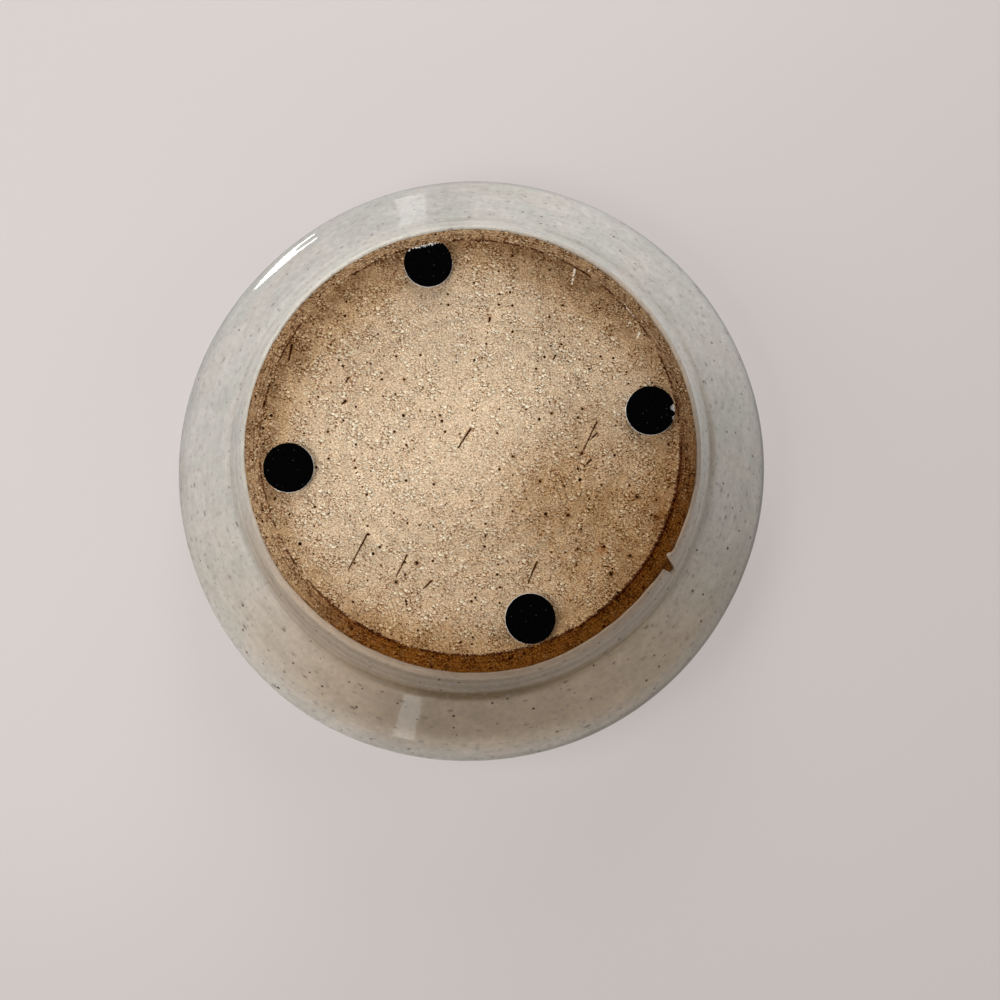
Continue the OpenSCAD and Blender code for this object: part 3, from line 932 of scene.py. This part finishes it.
# Each pad's name, direction from +X in degrees, room to the edge of the foot, and its rubber's room where
# cut, then its nicks, each with its direction in degrees, its depth, and half its width in radians
pads = (
    ("back", 76.5, -0.9, 1.0, ()),
    ("right", -8.5, 0.9, 0.45, ()),
    ("front", -108.5, 0.3, 0.15, ()),
    ("left", 170.0, 0.8, 0.45, ((174, 1.25, 0.15), (198, 0.55, 0.09))),
)
rubber_inset, rubber_wave = 0.08, 0.03
film_room = 0.05
rubber_tear, film_tear = 0.60, 0.70
for number, (name, bearing, room, rubber_room, nicks) in enumerate(pads):
    middle = (foot_r - room - pad_d / 2) * heading(math.radians(bearing))
    rubber_reach = pad_reach(middle, rubber_room) - rubber_inset
    cut_here = rubber_reach < pad_d / 2 - rubber_inset - 0.01
    torn_film = np.clip(uneven(pad_angles, 14, 60, 61 + number), 0, 1)
    film_reach = pad_reach(middle, film_room) - np.where(cut_here, film_tear, 0.0) * torn_film
    torn_rubber = uneven(pad_angles, 14, 64, 51 + number)
    rubber_reach = rubber_reach + np.where(cut_here, rubber_tear, rubber_wave) * torn_rubber
    for nick_at, deep, half in nicks:
        rubber_reach = rubber_reach - deep * near(pad_angles, math.radians(nick_at), half, 4)
    rubber_reach = np.minimum(rubber_reach, film_reach)
    pad = disc("pad_" + name, middle, rubber_reach, rubber_section)
    pad.data.materials.append(black_rubber)
    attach(pad, "root")
    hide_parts("foot_pad_" + name)
    film = disc("adhesive_" + name, middle, film_reach, film_low + film_high)
    film.data.materials.append(clear_adhesive)
    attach(film, "root")
    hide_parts("film_" + name)

# Setting
# A pale floor under the pads and a pale backdrop behind the rim, each seen from one side only and fading out
# away from the dish, with soft lamps on both sides of the floor. The camera looks up at the foot from below.
floor_colour, floor_glow = (0.70, 0.665, 0.65), (0.0, 0.0, 0.0)
backdrop_colour, backdrop_glow = (0.24, 0.225, 0.22), (0.39, 0.358, 0.345)
backdrop_z = 46.0
floor_half = 600.0
backdrop_half = 400.0
fade_from, fade_to = 240.0, 560.0


def one_sided(name, colour, glow):
    """A matt finish that is clear from behind and fades out away from the dish."""
    material, tree, shader = finish(name)
    shader.inputs["Base Color"].default_value = (*colour, 1)
    shader.inputs["Emission Color"].default_value = (*glow, 1)
    shader.inputs["Emission Strength"].default_value = 1.0
    shader.inputs["Roughness"].default_value = 0.9
    shader.inputs["Specular IOR Level"].default_value = 0.1
    behind = tree.nodes.new("ShaderNodeNewGeometry").outputs["Backfacing"]
    plan = vector(tree, "MULTIPLY", place_in_mm(tree), (1, 1, 0))
    far_off = between(tree, vector(tree, "LENGTH", plan), fade_from, fade_to)
    nothing = tree.nodes.new("ShaderNodeBsdfTransparent").outputs["BSDF"]
    either = add(tree, "ShaderNodeMixShader", Fac=calc(tree, "MAXIMUM", behind, far_off))
    tree.links.new(shader.outputs["BSDF"], either.inputs[1])
    tree.links.new(nothing, either.inputs[2])
    tree.links.new(either.outputs["Shader"], tree.nodes["Material Output"].inputs["Surface"])
    return material


def plain_sheet(name, half, height, side, colour, glow):
    """A square level sheet that only the camera sees: from above for a side of 1, from below for -1."""
    corners = [(-half, -half), (half, -half), (half, half), (-half, half)][::side]
    sheet = placed(name, [(x, y, height) for x, y in corners], [(0, 1, 2, 3)])
    sheet.data.materials.append(one_sided(name, colour, glow))
    sheet.visible_diffuse = False
    sheet.visible_glossy = False
    sheet.visible_transmission = False
    sheet.visible_shadow = False


plain_sheet("floor", floor_half, 0.0, 1, floor_colour, floor_glow)
plain_sheet("backdrop", backdrop_half, backdrop_z, -1, backdrop_colour, backdrop_glow)


def direction(azimuth, elevation):
    """A direction from its angles in degrees, round from +X and up from the floor."""
    across = math.cos(math.radians(elevation))
    return Vector((*(across * heading(math.radians(azimuth))), math.sin(math.radians(elevation))))


def panel(name, aim, azimuth, elevation, distance, size, power, colour):
    """A soft lamp that looks at a point from a direction in degrees. The camera doesn't see it."""
    toward = direction(azimuth, elevation)
    light = bpy.data.lights.new(name, "AREA")
    light.shape = "RECTANGLE"
    light.size, light.size_y = size[0] * mm, size[1] * mm
    light.energy = power
    light.color = colour
    holder = bpy.data.objects.new(name, light)
    bpy.context.scene.collection.objects.link(holder)
    holder.location = (Vector(aim) + toward * distance) * mm
    holder.rotation_mode = "QUATERNION"
    holder.rotation_quaternion = (-toward).to_track_quat("-Z", "Y")
    holder.visible_camera = False
    return holder


# Lamps that light the dish: direction in degrees, distance, size, and how bright a white card facing it looks
neutral, cool, warm = (1.0, 1.0, 1.0), (0.97, 0.99, 1.0), (1.0, 0.93, 0.86)
dish_middle = (0, 0, 10)
for name, azimuth, elevation, distance, size, level, colour in (
    ("window_below", 90, -20, 480, 260, 0.88, cool),
    ("near_below", -22, -46, 270, 160, 0.77, neutral),
    ("far_below", 170, -20, 690, 300, 0.28, neutral),
    ("side_below", 30, -20, 300, 180, 0.17, neutral),
    ("bounce_below", -140, -30, 500, 400, 0.10, warm),
    ("bounce_above", -68, 31, 1500, 900, 0.70, warm),
    ("overhead", -126, 66, 2400, 1870, 0.60, neutral),
):
    power = level * math.pi ** 2 * (distance * mm) ** 2
    holder = panel(name, dish_middle, azimuth, elevation, distance, (size, size), power, colour)
    holder.visible_glossy = False

# Lamps that only show in the gloss: the point they face, direction in degrees, width and height, brightness
mirrored_from = 600.0
for name, aim, azimuth, elevation, size, brightness, colour in (
    ("strip_above_wide", (11, 72, 21), 76.4, 8, (62, 210), 1.7, cool),
    ("strip_above", (11, 72, 21), 76.4, 8, (44, 210), 1.7, cool),
    ("strip_below_wide", (15, -71, 21), -73.9, -9, (56, 210), 3.6, cool),
    ("strip_below", (15, -71, 21), -73.9, -9, (36, 210), 4.6, cool),
    ("softbox", (0, 0, 20), 90.0, 90, (160, 160), 12.0, neutral),
):
    power = brightness * math.pi * size[0] * size[1] * mm ** 2
    holder = panel(name, aim, azimuth, elevation, mirrored_from, size, power, colour)
    holder.visible_diffuse = False

# A bright window that shows in the gloss as one streak under the rim: its corners in degrees, from the rim
pane_aim = Vector((52.6, 58.8, 25.6))
pane_glow = 12.0
pane_corners = (
    (43, 24), (46, 27), (50, 29.5), (53, 32.5), (60.5, 31), (60, 28.5), (55.5, 27),
    (54.3, 21), (55.3, 16.5), (59.8, 14.8), (59.5, 11.8), (52, 11.2), (47, 14.5), (44, 19),
)
pane_points = [pane_aim + mirrored_from * direction(*corner) for corner in pane_corners]
pane = placed("window_pane", pane_points, [list(range(len(pane_points)))])
material, tree, shader = finish("window_pane")
shader.inputs["Base Color"].default_value = (0.0, 0.0, 0.0, 1)
shader.inputs["Emission Color"].default_value = (*neutral, 1)
shader.inputs["Emission Strength"].default_value = pane_glow
pane.data.materials.append(material)
pane.visible_camera = False
pane.visible_diffuse = False
pane.visible_transmission = False
pane.visible_shadow = False

# The world: a dim ambient light on the dish, and a pale surround where the camera and the gloss see it
ambient = (0.11, 0.10, 0.088)
surround = (0.62, 0.60, 0.585)
world = bpy.data.worlds.new("surround")
world.use_nodes = True
bpy.context.scene.world = world
tree = world.node_tree
rays = tree.nodes.new("ShaderNodeLightPath").outputs
seen = calc(tree, "MAXIMUM", rays["Is Camera Ray"], rays["Is Glossy Ray"])
seen = calc(tree, "MAXIMUM", seen, rays["Is Transmission Ray"])
tree.links.new(mixed(tree, seen, ambient, surround), tree.nodes["Background"].inputs["Color"])

# The camera, with the dish's back pad upwards in the picture
camera_at = Vector((-4.10, -40.40, -222.0)) * mm
camera_aim = Vector((-7.44, -14.98, 1.8)) * mm
focal_share = 0.885
camera = bpy.data.objects.new("camera", bpy.data.cameras.new("camera"))
bpy.context.scene.collection.objects.link(camera)
camera.data.sensor_width = 36.0
camera.data.lens = focal_share * camera.data.sensor_width
camera.data.clip_start = 0.01
forward = (camera_aim - camera_at).normalized()
right = forward.cross(Vector((0, 1, 0))).normalized()
up = right.cross(forward)
turned_to = Matrix((right, up, -forward)).transposed().to_4x4()
camera.matrix_world = Matrix.Translation(camera_at) @ turned_to
bpy.context.scene.camera = camera
bpy.context.scene.view_settings.view_transform = "Standard"
